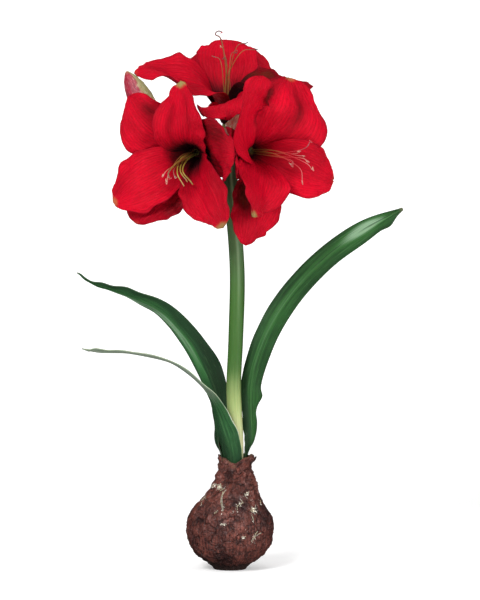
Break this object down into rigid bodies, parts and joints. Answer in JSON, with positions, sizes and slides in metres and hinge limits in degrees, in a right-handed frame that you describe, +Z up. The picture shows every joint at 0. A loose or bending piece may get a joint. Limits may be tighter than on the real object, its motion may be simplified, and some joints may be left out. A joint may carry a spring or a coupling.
{
  "type": "flowering amaryllis bulb",
  "caption": "Amaryllis in flower, growing from a bare brown bulb that stands on its own flat foot: strap leaves, a tall stem, open red blooms and a closed bud.",
  "frame": {"origin": "centre of the bulb's flat foot, on the surface that it stands on", "axes": "+Z up along the flower stem, +X to the right of the blooms' front, -Y the side that the front blooms face"},
  "size_m": [0.3317, 0.2058, 0.5381],
  "materials": {
    "bulb_skin": "dry papery reddish-brown skin with a waxy sheen",
    "stem_green": "smooth fleshy stem, cream at the bulb and green above",
    "leaf_green": "glossy fleshy strap leaf",
    "leaf_pale_green": "glossy strap leaf with a pale streaked edge",
    "stalk_green": "smooth fleshy green stalk and ovary",
    "petal_red": "velvety red petal with fine veins",
    "filament_red": "smooth thin filament with a dry anther",
    "bud_red": "closed petals, pink and red with green ribs",
    "bract_paper": "dry papery bract with fine veins"
  },
  "bodies": {
    "root": {"bulb": "bulb_skin", "scape": "stem_green", "leaf_left": "leaf_green", "leaf_front": "leaf_pale_green", "leaf_right": "leaf_green", "pedicel_left": "stalk_green", "pedicel_right": "stalk_green", "pedicel_top": "stalk_green", "pedicel_bud": "stalk_green", "bloom_left": "petal_red", "bloom_right": "petal_red", "bloom_top": "petal_red", "stamens_left": "filament_red", "stamens_right": "filament_red", "stamens_top": "filament_red", "bud": "bud_red", "spathe_front": "bract_paper", "spathe_back": "bract_paper"}
  },
  "joints": []
}
